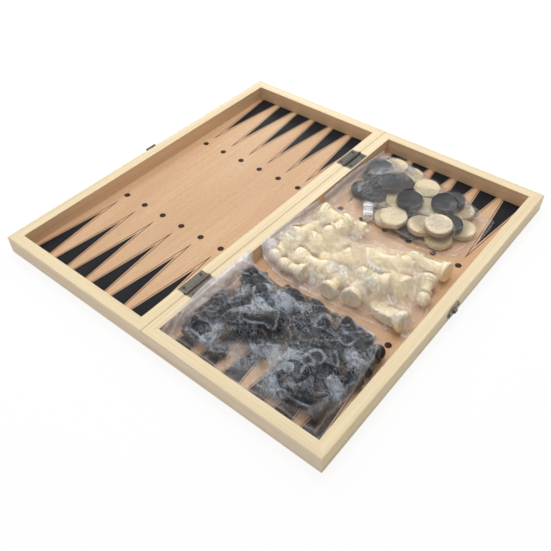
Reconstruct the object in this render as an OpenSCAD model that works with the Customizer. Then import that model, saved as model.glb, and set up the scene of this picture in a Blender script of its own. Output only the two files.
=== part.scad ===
// Folding games compendium box, lying open flat, with bagged chessmen, draughts and dice.
// Two equal trays lie side by side. The seam between them runs along Y through the origin,
// the table is at Z = 0, and the right tray (+X) holds the pieces.
// The left tray swings up and over the seam to close on the right one.

/* [Trays] */
// Length of the box along the seam
box_l = 390; // [350:1:430]
// Width of one tray, from the middle of the seam to its outer face
tray_w = 195; // [175:1:215]
// Height of one tray, from its underside to its rim
tray_h = 20; // [19:0.5:28]
// Thickness of the outer, near and far rails
rail_t = 12; // [9:0.5:12.5]
// Thickness of the two rails along the seam
seam_rail_t = 11; // [10.5:0.1:11.5]
// Thickness of the floor panels
panel_t = 2.5; // [2:0.1:3.5]
// Height of a panel's underside above the table
panel_rise = 0.5; // [0.4:0.1:1.5]
// Width of the rebate lap that carries a panel
panel_lap = 5; // [3:0.5:7]
// Radius along the rails' outer edges
edge_r = 1.2; // [0.6:0.1:2]
// Gap between the two trays when they lie open, and between the rims when closed
tray_gap = 0.3; // [0.2:0.05:0.6]

/* [Board print] */
// Plain strip between the last point and the seam rail
point_margin = 3.85; // [1:0.05:12]
// Width of a black point at its base
point_w = 19.6; // [12:0.1:21]
// Length of a black point
point_l = 84.5; // [60:0.5:95]
// Width of the thin outline's triangle at its base
outline_w = 22.8; // [22:0.1:24]
// Length of the outline's triangle
outline_l = 107; // [100:1:112]
// Width of the thin outline
outline_line = 0.6; // [0.4:0.1:1]
// Diameter of the dots
dot_d = 6.6; // [4:0.1:8]
// Distance from an outline's tip to the middle of its dot
dot_gap = 13; // [6:0.5:30]
// Plain strip between the chess squares and the rails along the seam
square_side_margin = 3.9; // [2:0.1:12]
// Plain strip between the chess squares and the near and far rails
square_end_margin = 19; // [8:0.5:40]
// Thickness of the printed ink
ink_t = 0.12; // [0.1:0.01:0.3]

/* [Hinges] */
// Distance of each hinge's middle from the middle of the seam
hinge_y = 124; // [80:1:150]
// Length of a hinge
hinge_l = 32; // [28:1:40]
// Width of one leaf, from the pin to its free edge
leaf_w = 10; // [9.5:0.1:10.4]
// Thickness of a leaf
leaf_t = 0.8; // [0.6:0.1:1]
// Radius of the knuckles
knuckle_r = 1.6; // [1.4:0.1:1.9]
// Radius of the hinge and hasp pins
pin_r = 0.7; // [0.5:0.05:0.8]
// Clearance between a pin and its bore
pin_fit = 0.05; // [0.02:0.01:0.09]
// Number of knuckles on a hinge
knuckles = 5; // [3:2:7]
// Distance of a leaf's nails from the pin
nail_x = 6.2; // [5.5:0.1:7]
// Distance between the two nails of a leaf
nail_pitch = 22; // [16:1:24]

/* [Hasp and catch] */
// Distance of the hasp and catch from the middle of the seam
hasp_y = 2; // [-20:1:20]
// Depth of the hasp's pin below the rim
hasp_drop = 1.8; // [1.8:0.1:2.5]
// Distance that the hasp's knuckles and the catch's hook stand out
hasp_proud = 3.9; // [3.8:0.1:4.5]
// Outer radius of the hasp's knuckles
hasp_r = 1.5; // [1.3:0.1:1.6]
// Width of the tongue at its pin
tongue_w = 8; // [7:0.5:10]
// Thickness of the tongue
tongue_t = 1; // [0.8:0.1:1.2]
// Width of the tongue's slot
slot_w = 4.8; // [4.4:0.1:5]
// Length of the tongue's slot
slot_l = 6.4; // [6.2:0.1:7]
// Thickness of the hasp and catch plates
plate_t = 0.8; // [0.6:0.1:1]
// Width of the hasp and catch plates
plate_w = 23; // [22:1:30]
// Height of the hook's middle above the table
hook_z = 10.5; // [10.5:0.1:12]
// Outer radius of the hook
hook_r = 2.8; // [2.4:0.1:2.9]
// Width of the hook
hook_w = 3.6; // [2.5:0.1:4]

/* [Pieces] */
// Side of the squares that the pieces' sizes below are meant for; the pieces grow and shrink
// with the board's own squares
set_square = 41; // [40:0.5:44]
// Height of a king
king_h = 62; // [56:1:64]
// Diameter of a king's foot
king_d = 23; // [20:0.5:23.5]
// Height of a queen
queen_h = 55; // [50:1:57]
// Diameter of a queen's foot
queen_d = 22; // [19:0.5:22.5]
// Height of a bishop
bishop_h = 47; // [42:1:48]
// Height of a knight
knight_h = 41; // [38:1:42]
// Height of a rook
rook_h = 36; // [32:1:37]
// Diameter of a bishop's, knight's and rook's foot
officer_d = 20; // [17:0.5:20.5]
// Height of a pawn
pawn_h = 32; // [28:1:33]
// Diameter of a pawn's foot
pawn_d = 18; // [15:0.5:18]
// Diameter of a draught
draught_d = 28; // [25:0.5:28]
// Thickness of a draught
draught_t = 6.5; // [5:0.1:6.6]
// Side of a die
die_w = 10; // [8:0.5:10.2]

/* [Bags] */
// Thickness of the bags' solids
film_t = 0.4; // [0.3:0.05:0.6]
// Clearance round the bags and under the pieces
film_gap = 0.3; // [0.2:0.05:0.5]

/* [Hidden] */
$fn = 48;

// Trays: inner faces, panel and rebate, as seen on the right tray
half_l = box_l / 2;
seam_x = tray_gap / 2;
in_x0 = seam_x + seam_rail_t;
in_x1 = tray_w - rail_t;
in_y = half_l - rail_t;
floor_z = panel_rise + panel_t;
point_pitch = (in_x1 - in_x0 - point_margin) / 6;
square_w = min((in_x1 - in_x0) / 4 - square_side_margin / 2, (in_y - square_end_margin) / 4);
rebate_fit = 0.1;
inner_edge_r = 0.5;
fold_z = tray_h + tray_gap / 2;

// Hinges
leaf_fit = 0.1;
knuckle_fit = 0.15;
plate_x0 = knuckle_r + 0.2;
pin_head_r = 1.2;
pin_head_t = 0.5;
nail_shank_r = 0.6;
nail_head_r = 1.5;
nail_head_t = 0.6;
nail_l = 8;

// Hasp: the pin stands outside the rail, and the slot meets the hook when the box is shut
hasp_z = tray_h - hasp_drop;
hasp_x = tray_w + hasp_proud - hasp_r;
slot_c = (fold_z - hasp_z) + (fold_z - hook_z);
tongue_tip = slot_c + slot_l / 2 + 1.9;
tongue_in = 0.1;
side_knuckle = 2.2;
hook_x = tray_w + hasp_proud - hook_r;
plate_z0 = 3.2;

// Bags: middle of each one on the floor, then half of its length and width
set_k = square_w / set_square;
bag_wall = film_t + film_gap;
lie_z = floor_z + film_gap + bag_wall;
mid_x = (in_x0 + in_x1) / 2;
pale_bag = [mid_x, -0.022 * in_y];
black_bag = [mid_x, -0.653 * in_y];
draught_bag = [mid_x - 4.5 * set_k, 0.6175 * in_y];
chess_bag_size = [83, 53] * set_k;
draught_bag_size = [78, 56] * set_k;

// Colours
birch = [0.93, 0.85, 0.67];
beech = [0.87, 0.70, 0.54];
ink = [0.14, 0.14, 0.18];
outline_ink = [0.28, 0.18, 0.12];
bronze = [0.33, 0.30, 0.24];
pale_wood = [0.93, 0.86, 0.66];
black_wood = [0.10, 0.11, 0.13];

// ---------------------------------------------------------------- trays

// Draws the right tray's part on the left side too
module on_left() { mirror([1, 0, 0]) children(); }

// Waste outside a corner of radius r whose square corner is at the origin
module corner_waste(r) {
    difference() {
        translate([-1, -1]) square(r + 1);
        translate([r, r]) circle(r);
    }
}

// Section of a rail: x is the distance from its outer face, y is the height
module rail_section(t, outer_r) {
    difference() {
        square([t, tray_h]);
        translate([t - panel_lap - rebate_fit, -1])
            square([panel_lap + rebate_fit + 1, floor_z + 1]);
        corner_waste(outer_r);
        translate([0, tray_h]) mirror([0, 1]) corner_waste(outer_r);
        translate([t, tray_h]) rotate(180) corner_waste(inner_edge_r);
    }
}

// Outline of a tray seen from above, with its two outer corners rounded
module tray_outline() {
    difference() {
        translate([seam_x, -half_l]) square([tray_w - seam_x, box_l]);
        for (s = [-1, 1]) scale([1, s]) translate([tray_w, -half_l])
            mirror([1, 0]) corner_waste(edge_r);
    }
}

// Keeps the part of a rail between its mitres
module mitred(corners) {
    intersection() {
        children();
        linear_extrude(tray_h) intersection() {
            polygon(corners);
            tray_outline();
        }
    }
}

module outer_rail() {
    color(birch)
    mitred([[tray_w, -half_l], [tray_w, half_l], [in_x1, in_y], [in_x1, -in_y]])
        difference() {
            translate([tray_w, half_l, 0]) mirror([1, 0, 0]) rotate([90, 0, 0])
                linear_extrude(box_l) rail_section(rail_t, edge_r);
            for (s = [-1, 1]) translate([tray_w, hasp_y + s * face_nail_y, face_nail_z])
                rotate([0, -90, 0]) cylinder(h = face_nail_l, r = nail_shank_r);
        }
}

module cross_rail() {
    color(birch)
    mitred([[seam_x, -half_l], [tray_w, -half_l], [in_x1, -in_y], [in_x0, -in_y]])
        translate([0, -half_l, 0]) rotate([90, 0, 90])
            linear_extrude(tray_w) rail_section(rail_t, edge_r);
}

module seam_rail() {
    color(birch)
    difference() {
        mitred([[seam_x, -half_l], [in_x0, -in_y], [in_x0, in_y], [seam_x, half_l]])
            translate([seam_x, half_l, 0]) rotate([90, 0, 0])
                linear_extrude(box_l) rail_section(seam_rail_t, inner_edge_r);
        for (s = [-1, 1]) translate([0, s * hinge_y, 0]) {
            leaf_recess();
            knuckle_groove();
            leaf_nails() cylinder(h = nail_l, r = nail_shank_r);
        }
    }
}

module floor_panel() {
    color(beech)
    translate([in_x0 - panel_lap, -in_y - panel_lap, panel_rise])
        cube([in_x1 - in_x0 + 2 * panel_lap, 2 * (in_y + panel_lap), panel_t]);
}

// ---------------------------------------------------------------- printed board

// Middle of each point along X, counted from the outer rail
function point_x(i) = in_x1 - point_pitch * (i + 0.5);

// Triangle with its base on the far rail
module point_shape(w, l) {
    polygon([[-w / 2, 0], [w / 2, 0], [0, -l]]);
}

module each_point() {
    for (s = [-1, 1], i = [0:5])
        scale([1, s, 1]) translate([point_x(i), in_y, floor_z]) children();
}

module points() {
    color(ink) each_point() linear_extrude(ink_t) point_shape(point_w, point_l);
}

module outlines() {
    inset = 2 * outline_line / outline_w;
    color(outline_ink) {
        each_point() linear_extrude(ink_t) difference() {
            point_shape(outline_w, outline_l);
            scale(1 - inset) translate([0, 1]) point_shape(outline_w, outline_l + 1);
        }
        for (s = [-1, 1], i = [0:5])
            translate([point_x(i), s * (in_y - outline_l - dot_gap), floor_z]) cylinder(h = ink_t, d = dot_d);
    }
}

// Dark squares of half a chessboard, printed under the panel
module chess_squares(odd) {
    corner_gap = 0.1;
    color(ink)
    for (i = [0:3], j = [0:7]) if ((i + j) % 2 == odd)
        translate([mid_x + (i - 2) * square_w + corner_gap,
                   (j - 4) * square_w + corner_gap, panel_rise - ink_t])
            cube([square_w - 2 * corner_gap, square_w - 2 * corner_gap, ink_t]);
}

// ---------------------------------------------------------------- hinges

// Room for a leaf in a seam rail's top
module leaf_recess() {
    translate([0, -hinge_l / 2 - leaf_fit, tray_h - leaf_t])
        cube([leaf_w + leaf_fit, hinge_l + 2 * leaf_fit, leaf_t + 1]);
}

// Room for the knuckles and the pin's heads in a seam rail's top edge
module knuckle_groove() {
    groove_l = hinge_l + 2 * (pin_head_t + 2 * leaf_fit);
    translate([0, groove_l / 2, fold_z]) rotate([90, 0, 0])
        cylinder(h = groove_l, r = knuckle_r + knuckle_fit);
}

// Nails of one right leaf, pointing down from the countersinks' small ends
module leaf_nails() {
    for (s = [-1, 1]) translate([nail_x, s * nail_pitch / 2, tray_h - nail_l]) children();
}

// Knuckles first, first + 2, ... of a hinge
module hinge_leaf(first) {
    knuckle_l = hinge_l / knuckles;
    ridge = 0.25;
    color(bronze)
    difference() {
        union() {
            translate([plate_x0, -hinge_l / 2, tray_h - leaf_t])
                cube([leaf_w - plate_x0, hinge_l, leaf_t]);
            for (k = [first:2:knuckles - 1]) translate([0, -hinge_l / 2 + k * knuckle_l + leaf_fit / 2, 0]) {
                translate([0, knuckle_l - leaf_fit, fold_z]) rotate([90, 0, 0])
                    cylinder(h = knuckle_l - leaf_fit, r = knuckle_r);
                translate([0, 0, tray_h - leaf_t])
                    cube([plate_x0 + 1, knuckle_l - leaf_fit, leaf_t]);
            }
        }
        translate([0, hinge_l, fold_z]) rotate([90, 0, 0])
            cylinder(h = 2 * hinge_l, r = pin_r + pin_fit);
        leaf_nails() translate([0, 0, nail_l - leaf_t - 1]) cylinder(h = leaf_t + 2, r = nail_shank_r + pin_fit);
        leaf_nails() translate([0, 0, nail_l - nail_head_t - leaf_fit])
            cylinder(h = nail_head_t + leaf_fit, r1 = nail_shank_r + leaf_fit, r2 = nail_head_r + leaf_fit);
        // pressed pattern: two grooves beside the knuckles and a ring round each nail
        for (x = [plate_x0 + 1, leaf_w - 1.2])
            translate([x, -hinge_l / 2 + 1, tray_h - ridge]) cube([0.5, hinge_l - 2, 1]);
        leaf_nails() translate([0, 0, nail_l - ridge]) difference() {
            cylinder(h = 1, r = nail_head_r + 1);
            translate([0, 0, -1]) cylinder(h = 3, r = nail_head_r + 0.6);
        }
    }
}

module hinge_pin() {
    color(bronze)
    rotate([90, 0, 0]) {
        translate([0, 0, -hinge_l / 2 - leaf_fit]) cylinder(h = hinge_l + 2 * leaf_fit, r = pin_r);
        for (s = [0, 1]) mirror([0, 0, s]) translate([0, 0, hinge_l / 2 + leaf_fit])
            cylinder(h = pin_head_t, r1 = pin_head_r, r2 = pin_head_r - 0.3);
    }
}

// The four countersunk nails of one side
module hinge_nails() {
    color(bronze)
    for (s = [-1, 1]) translate([0, s * hinge_y, 0]) leaf_nails() {
        translate([0, 0, 1]) cylinder(h = nail_l - nail_head_t - 1, r = nail_shank_r - 0.02);
        cylinder(h = 1, r1 = 0.1, r2 = nail_shank_r - 0.02);
        translate([0, 0, nail_l - nail_head_t])
            cylinder(h = nail_head_t - 0.05, r1 = nail_shank_r - 0.02, r2 = nail_head_r - 0.05);
    }
}

// ---------------------------------------------------------------- hasp and catch

face_nail_y = plate_w / 2 - 2.8;
face_nail_z = 10.5;
face_nail_l = 6;
face_nail_head_r = 1.5;

// Extrudes an outline, drawn with x along the rail and y upwards, out of the right rail's face
module on_face(from, thick) {
    translate([tray_w + from, hasp_y, 0]) rotate([90, 0, 90]) linear_extrude(thick) children();
}

// Scalloped plate outline with lobed wings, two nail holes and pierced slots
module plate_outline(top) {
    mid_z = (plate_z0 + top) / 2;
    core_h = top - plate_z0;
    lobe_r = 2.6;
    difference() {
        union() {
            translate([-plate_w / 4, plate_z0]) square([plate_w / 2, core_h]);
            for (s = [-1, 1]) {
                translate([s * face_nail_y, face_nail_z]) circle(r = 2.8);
                for (v = [-1, 1]) translate([s * (plate_w / 2 - lobe_r - 2.2), face_nail_z + v * 2.9])
                    circle(r = lobe_r);
            }
        }
        for (s = [-1, 1]) {
            translate([s * face_nail_y, face_nail_z]) circle(r = nail_shank_r + pin_fit);
            translate([s * (plate_w / 4 + 0.8), mid_z]) for (v = [-1, 1])
                translate([0, v * 3.4]) circle(r = 0.8);
        }
    }
}

// Ring of a hasp knuckle along Y, from y0, with the pin's bore
module hasp_ring(y0, l) {
    translate([hasp_x, hasp_y + y0 + l, hasp_z]) rotate([90, 0, 0]) cylinder(h = l, r = hasp_r);
}

module hasp_bore() {
    translate([hasp_x, hasp_y + plate_w, hasp_z]) rotate([90, 0, 0])
        cylinder(h = 2 * plate_w, r = pin_r + pin_fit);
}

module hasp_plate() {
    color(bronze)
    difference() {
        union() {
            on_face(0, plate_t) plate_outline(hasp_z - hasp_r / 2);
            for (s = [-1, 1]) {
                y0 = s > 0 ? tongue_w / 2 + leaf_fit : -tongue_w / 2 - leaf_fit - side_knuckle;
                hasp_ring(y0, side_knuckle);
                translate([tray_w, hasp_y + y0, hasp_z - hasp_r])
                    cube([hasp_x - tray_w, side_knuckle, hasp_r]);
            }
        }
        hasp_bore();
    }
}

// The tongue hangs from its pin, over the plate
module hasp_tongue() {
    tip_r = 2.2;
    color(bronze)
    difference() {
        union() {
            hasp_ring(-tongue_w / 2, tongue_w);
            translate([hasp_x - tray_w - tongue_t / 2 - tongue_in, 0, 0])
                on_face(0, tongue_t) difference() {
                    union() {
                        translate([-tongue_w / 2, hasp_z - slot_c]) square([tongue_w, slot_c]);
                        for (s = [-1, 1]) translate([s * (tongue_w / 2 + 0.8 - tip_r), hasp_z - tongue_tip + tip_r])
                            circle(r = tip_r);
                        translate([-(tongue_w / 2 + 0.8), hasp_z - tongue_tip + tip_r])
                            square([tongue_w + 1.6, slot_l - 1]);
                        translate([-(tongue_w / 2 + 0.8 - tip_r), hasp_z - tongue_tip])
                            square([tongue_w + 1.6 - 2 * tip_r, 2 * tip_r]);
                    }
                    translate([-slot_w / 2, hasp_z - slot_c - slot_l / 2]) square([slot_w, slot_l]);
                }
        }
        hasp_bore();
    }
}

module hasp_pin() {
    l = tongue_w + 2 * (side_knuckle + leaf_fit) + 0.6;
    color(bronze)
    translate([hasp_x, hasp_y + l / 2, hasp_z]) rotate([90, 0, 0]) cylinder(h = l, r = pin_r);
}

// Catch with a sprung hook that passes through the tongue's slot
module catch_plate() {
    color(bronze) {
        on_face(0, plate_t) plate_outline(tray_h - 2.4);
        translate([0, hasp_y - hook_w / 2, 0]) difference() {
            union() {
                translate([hook_x, hook_w, hook_z]) rotate([90, 0, 0]) cylinder(h = hook_w, r = hook_r);
                translate([tray_w, 0, hook_z - hook_r]) cube([hook_x - tray_w, hook_w, 2 * hook_r]);
            }
            translate([hook_x, hook_w + 1, hook_z]) rotate([90, 0, 0])
                cylinder(h = hook_w + 2, r = hook_r - 0.8);
            translate([tray_w + plate_t, -1, hook_z - hook_r + 0.8])
                cube([hook_x - tray_w - plate_t, hook_w + 2, 2 * hook_r - 1.6]);
            translate([hook_x - hook_r - 1, -1, hook_z - hook_r - 1])
                cube([tray_w + 0.1 - hook_x + hook_r + 1, hook_w + 2, 2 * hook_r + 2]);
        }
    }
}

// Round-headed nails of the hasp or the catch
module face_nails() {
    color(bronze)
    for (s = [-1, 1]) translate([tray_w, hasp_y + s * face_nail_y, face_nail_z]) rotate([0, 90, 0]) {
        translate([0, 0, -face_nail_l + 1]) cylinder(h = face_nail_l - 1 + plate_t, r = nail_shank_r - 0.02);
        translate([0, 0, -face_nail_l]) cylinder(h = 1, r1 = 0.1, r2 = nail_shank_r - 0.02);
        translate([0, 0, plate_t]) intersection() {
            cylinder(h = 1, r = face_nail_head_r);
            translate([0, 0, -1.2]) sphere(r = 2);
        }
    }
}

// ---------------------------------------------------------------- chessmen

// Points of a foot of radius rb, a stepped drum, and a cove that sweeps up to a neck of radius rn
// at height zn
foot_rim = 3.8;
function foot(rb, rn, zn) = let (lip = rb - 1.9, z0 = 7.4) concat(
    [[0, 0], [rb - 0.7, 0], [rb, 0.7], [rb, foot_rim], [rb - 0.5, 4.7], [rb - 1.5, 5], [rb - 1.1, 5.6],
     [rb - 1.1, 6.8], [lip, z0]],
    [for (t = [15:15:90]) [lip - (lip - rn) * sin(t), z0 + (zn - z0) * (1 - cos(t))]]);

// Half bead of radius r centred on z, bulging to rim
function bead(rim, r, z) = [for (t = [-90:30:90]) [rim - r + r * cos(t), z + r * sin(t)]];

// Arc of a ball of radius r centred on z, from the angle a up to the axis
function ball(r, z, a) = concat([for (t = [a:12:89]) [r * cos(t), z + r * sin(t)]], [[0, z + r]]);

// Radius of each kind's head at its widest ring
king_head_r = 8.6;
queen_head_r = 8.2;
bishop_head_r = 6.4;
rook_head_r = 8.6;
pawn_head_r = 6.8;

function pawn_outline() = concat(
    foot(pawn_d / 2, 4.8, pawn_h - 15.2),
    bead(6.9, 0.9, pawn_h - 13.8),
    ball(pawn_head_r, pawn_h - pawn_head_r, -62));

function rook_outline() = concat(
    foot(officer_d / 2, 6, rook_h - 12.5),
    bead(7.8, 0.9, rook_h - 10.8),
    [[6.4, rook_h - 9.6], [rook_head_r, rook_h - 7.4], [rook_head_r, rook_h], [5.6, rook_h],
     [5.6, rook_h - 2.6], [0, rook_h - 2.6]]);

function bishop_outline() = concat(
    foot(officer_d / 2, 4.6, bishop_h - 19),
    bead(7.2, 1, bishop_h - 17),
    [[4.8, bishop_h - 15.6]],
    [for (t = [-50:20:70]) [bishop_head_r * cos(t), bishop_h - 9.6 + 7.4 * sin(t)]],
    ball(1.9, bishop_h - 1.9, -30));

function queen_outline() = concat(
    foot(queen_d / 2, 5.2, queen_h - 22),
    bead(8, 1, queen_h - 20),
    [[5.4, queen_h - 18.4], [queen_head_r, queen_h - 7.6], [7.6, queen_h - 5.6], [4, queen_h - 4.4]],
    ball(2.6, queen_h - 2.6, -12));

function king_outline() = concat(
    foot(king_d / 2, 5.6, king_h - 26),
    bead(8.5, 1.1, king_h - 23.8),
    [[5.8, king_h - 22], [king_head_r, king_h - 10], [8, king_h - 8], [3, king_h - 6],
     [1.9, king_h - 5], [2.7, king_h - 0.6], [2, king_h], [0, king_h]]);

// Sizes for laying a chessman down: foot radius, then radius and height of its head's widest ring
function lie_size(kind) =
    kind == "king" ? [king_d / 2, king_head_r, king_h - 10] :
    kind == "queen" ? [queen_d / 2, queen_head_r, queen_h - 7.6] :
    kind == "bishop" ? [officer_d / 2, bishop_head_r, bishop_h - 9.6] :
    kind == "knight" ? [officer_d / 2, knight_top_t / 2, knight_h] :
    kind == "rook" ? [officer_d / 2, rook_head_r, rook_h] :
    [pawn_d / 2, pawn_head_r, pawn_h - pawn_head_r];

module turned(outline) { rotate_extrude($fn = 40) polygon(outline); }

// Thickness of a knight's head at the cheeks and along its mane
knight_head_t = 10.6;
knight_top_t = 6.2;

// Horse's head on a turned foot, facing -X, its flat cheeks along Y
module knight() {
    neck_z = 11;
    h = knight_h - neck_z;
    turned(concat(foot(officer_d / 2, 7.2, neck_z - 1), [[7.2, neck_z], [0, neck_z]]));
    intersection() {
        translate([0, knight_head_t / 2, neck_z - 1]) rotate([90, 0, 0]) linear_extrude(knight_head_t)
            polygon([[-5.8, 0], [-5, 0.3 * h], [-2.6, 0.42 * h], [-7.8, 0.42 * h], [-9.2, 0.52 * h],
                     [-8.6, 0.66 * h], [-5, 0.84 * h], [-2.8, 0.94 * h], [-0.6, h + 1],
                     [0.9, 0.93 * h], [4.6, 0.82 * h], [6.9, 0.6 * h], [7.1, 0.35 * h], [6.4, 0]]);
        translate([-12, 0, neck_z - 2]) rotate([90, 0, 90]) linear_extrude(officer_d + 4)
            polygon([[-knight_head_t / 2, 0], [knight_head_t / 2, 0], [knight_head_t / 2, 0.62 * h],
                     [knight_top_t / 2 - 0.1, h + 3], [0.1 - knight_top_t / 2, h + 3],
                     [-knight_head_t / 2, 0.62 * h]]);
    }
}

// A rook's crown has four gaps
module rook() {
    difference() {
        turned(rook_outline());
        for (a = [0, 90]) rotate(a) translate([-10, -1.1, rook_h - 2.4]) cube([20, 2.2, 4]);
    }
}

module chessman(kind) {
    if (kind == "king") turned(king_outline());
    if (kind == "queen") turned(queen_outline());
    if (kind == "bishop") turned(bishop_outline());
    if (kind == "knight") knight();
    if (kind == "rook") rook();
    if (kind == "pawn") turned(pawn_outline());
}

// Lays a chessman on its side at the origin, head along +X, touching z = 0 at foot and head
module laid(kind, roll) {
    s = lie_size(kind);
    dip = atan((s[0] - s[1]) / (s[2] - foot_rim));
    translate([0, 0, s[0] * cos(dip) + foot_rim * sin(dip)]) rotate([0, 90 + dip, 0]) rotate(roll)
        chessman(kind);
}

// How one set of sixteen lies in its bag: kind, foot's x and y from the bag's middle,
// heading of the head, height above the lowest layer, roll about its own axis, head's lift
pile = [
    ["king", 53, -3, 152, 0, 10, 0],
    ["queen", -72, 38, 7, 0, 30, 0],
    ["bishop", 73, 40.4, 176, 0, 0, 0],
    ["bishop", 7.5, 0.3, 29, 11, 50, 6.5],
    ["knight", 74, -38, 172, 0, 90, 0],
    ["knight", -55, -4, 43, 0, 90, 0],
    ["rook", 20.5, -43.5, 100, 0, 20, 0],
    ["rook", -18, -28.2, 176, 0, 45, 0],
    ["pawn", 62, 24, -70, 0, 0, 0],
    ["pawn", -32, -42.8, 180, 0, 0, 0],
    ["pawn", -72.5, -14, -88, 0, 0, 0],
    ["pawn", -11, 4, 218, 0, 0, 0],
    ["pawn", -73, -7, 75, 0, 0, 0],
    ["pawn", -34, 33, 250, 12.9, 0, 0],
    ["pawn", -3, -48, 92, 0, 0, 0],
    ["pawn", 41, -17, 190, 13, 0, 8]];

// The chessmen of one kind out of a pile; turned about by half for the black set
module piled(kind, bag, turn) {
    translate([bag[0], bag[1], lie_z]) rotate(turn) scale(set_k)
        for (p = pile) if (p[0] == kind)
            translate([p[1], p[2], p[4]]) rotate([0, -p[6], p[3]]) laid(kind, p[5]);
}

module pale_men(kind) { color(pale_wood) piled(kind, pale_bag, 0); }
module black_men(kind) { color(black_wood) piled(kind, black_bag, 180); }

// ---------------------------------------------------------------- draughts and dice

// Disc with slightly domed faces and rounded rims
function draught_outline() = let (r = draught_d / 2, t = draught_t) [
    [0, 0], [r - 2.4, 0.1], [r - 0.9, 0.3], [r - 0.25, 0.8], [r, 1.6],
    [r, t - 1.6], [r - 0.25, t - 0.8], [r - 0.9, t - 0.3], [r - 2.4, t - 0.1], [0, t]];

// Draughts in their bag: x and y from its middle, layer, tilt, heading of the low side
pale_discs = [
    [-13.5, -37, 0, 0, 0], [44, -33, 0, 0, 0], [-30.5, -13, 0, 0, 0], [27, -8, 0, 0, 0],
    [56, -6, 0, 0, 0], [-45, 13, 0, 0, 0], [41.5, 18.5, 0, 0, 0], [-31.5, 39, 0, 0, 0],
    [-49.5, 35, 1, 0, 0], [-1.5, 21, 1, 4, 300], [14.5, -5, 1, 0, 0], [-14.5, -14, 1, 0, 0],
    [-4.5, -40.5, 1, 4, 280], [23.5, -33.5, 1, 0, 0], [40.5, -31, 2, 6, 300]];
black_discs = [
    [15, -37, 0, 0, 0], [-59.5, -12, 0, 0, 0], [-1.5, -11, 0, 0, 0], [-16, 14, 0, 0, 0],
    [12.5, 17.5, 0, 0, 0], [-60.5, 38.5, 0, 0, 0], [-58.5, 7.5, 1, 0, 0], [-29.5, 13.5, 1, 0, 0],
    [-43.5, -18, 1, 0, 0], [44.5, -14, 1, 0, 0], [28.5, 21, 1, 0, 0],
    [-2.5, -14, 2, 3, 330], [-32.5, -1, 2, 2, 250], [28.5, 3, 2, 3, 20], [-56.5, 14, 2, 2, 230]];

layer_gap = 0.3;

module disc(p) {
    translate([p[0], p[1], p[2] * (draught_t + layer_gap) + draught_d / 2 * sin(p[3])])
        rotate(p[4]) rotate([0, p[3], 0]) rotate_extrude($fn = 48) polygon(draught_outline());
}

module in_draughts_bag() {
    translate([draught_bag[0], draught_bag[1], lie_z]) scale(set_k) children();
}

module pale_draughts() { color(pale_wood) in_draughts_bag() for (p = pale_discs) disc(p); }
module black_draughts() { color(black_wood) in_draughts_bag() for (p = black_discs) disc(p); }

// Dice: x and y from the bag's middle, turn
dice_at = [[-37, -38, -58], [-31, -47.5, -58]];
pip_r = 0.9;
pip_depth = 0.35;

// Where the pips of a face lie, as steps from its middle
function pips(n) = concat(
    n % 2 == 1 ? [[0, 0]] : [],
    n > 1 ? [[-1, -1], [1, 1]] : [],
    n > 3 ? [[-1, 1], [1, -1]] : [],
    n == 6 ? [[-1, 0], [1, 0]] : []);

// The six faces: turns that bring each one to the top, and its count
faces = [[[0, 0, 0], 6], [[180, 0, 0], 1], [[90, 0, 0], 3], [[-90, 0, 0], 4], [[0, 90, 0], 5], [[0, -90, 0], 2]];

module each_pip() {
    for (f = faces, q = pips(f[1])) rotate(f[0])
        translate([q[0] * die_w * 0.26, q[1] * die_w * 0.26, die_w / 2 - pip_depth]) children();
}

module each_die() {
    in_draughts_bag() for (d = dice_at) translate([d[0], d[1], die_w / 2]) rotate(d[2]) children();
}

module dice() {
    color("white") each_die() difference() {
        intersection() {
            cube(die_w, center = true);
            sphere(r = die_w * 0.72);
        }
        each_pip() cylinder(h = 1, r = pip_r);
    }
}

module dice_pips() {
    color(ink) each_die() each_pip() cylinder(h = pip_depth / 2, r = pip_r - 0.02);
}

// ---------------------------------------------------------------- bags

// The film falls away beside a piece at rest_slope and sags between the pieces at span_slope;
// it rises from its welded edge, weld_h thick, at edge_slope. A round piece counts as level over a
// share of its radius, a knight's flat head over its half width, and lay_over widens them all. The
// film keeps foot_rise above a laid piece's foot, which stays level for foot_level along the piece.
rest_slope = 1.5;
span_slope = 0.45;
edge_slope = 1.1;
level_share = 0.54;
knight_level = 9;
lay_over = 5;
foot_rise = 0.5;
foot_level = 5.5;
weld_h = 2.6;
film_cell = 6.4;

function within(v, lo, hi) = max(lo, min(hi, v));

// Height that a laid chessman p asks of the film at x and y
function man_z(p, x, y, slope) = let (
    s = lie_size(p[0]), run = s[2] * cos(p[6]), way = [cos(p[3]), sin(p[3])], at = [x - p[1], y - p[2]],
    along = within(at * way, 0, run), t = max(0, along - foot_level) / (run - foot_level),
    r = s[0] + (s[1] - s[0]) * t,
    level = level_share * s[0] * (1 - t) + (p[0] == "knight" ? knight_level : level_share * s[1]) * t)
    p[4] + along * tan(p[6]) + 2 * r + foot_rise * (1 - t)
    - slope * max(0, norm(at - along * way) - level - lay_over);

// Height that a draught p asks of the film
function disc_z(p, x, y, slope) =
    (p[2] + 1) * (draught_t + layer_gap) + draught_d * sin(p[3])
    - slope * max(0, norm([x - p[0], y - p[1]]) - draught_d / 2 - lay_over + 1);

function die_z(p, x, y, slope) = die_w - slope * max(0, norm([x - p[0], y - p[1]]) - die_w * 0.6 - lay_over);

function rest_z(men, x, y, slope) = max(men ? [for (p = pile) man_z(p, x, y, slope)] : concat(
    [for (p = concat(pale_discs, black_discs)) disc_z(p, x, y, slope)],
    [for (p = dice_at) die_z(p, x, y, slope)]));

// Height of the film's outer face above the bag's underside
function film_z(men, size, x, y) = max(weld_h, 2 * bag_wall + set_k * max(
    rest_z(men, x / set_k, y / set_k, rest_slope),
    min(rest_z(men, x / set_k, y / set_k, span_slope),
        edge_slope * min(size[0] - abs(x), size[1] - abs(y)))));

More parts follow.
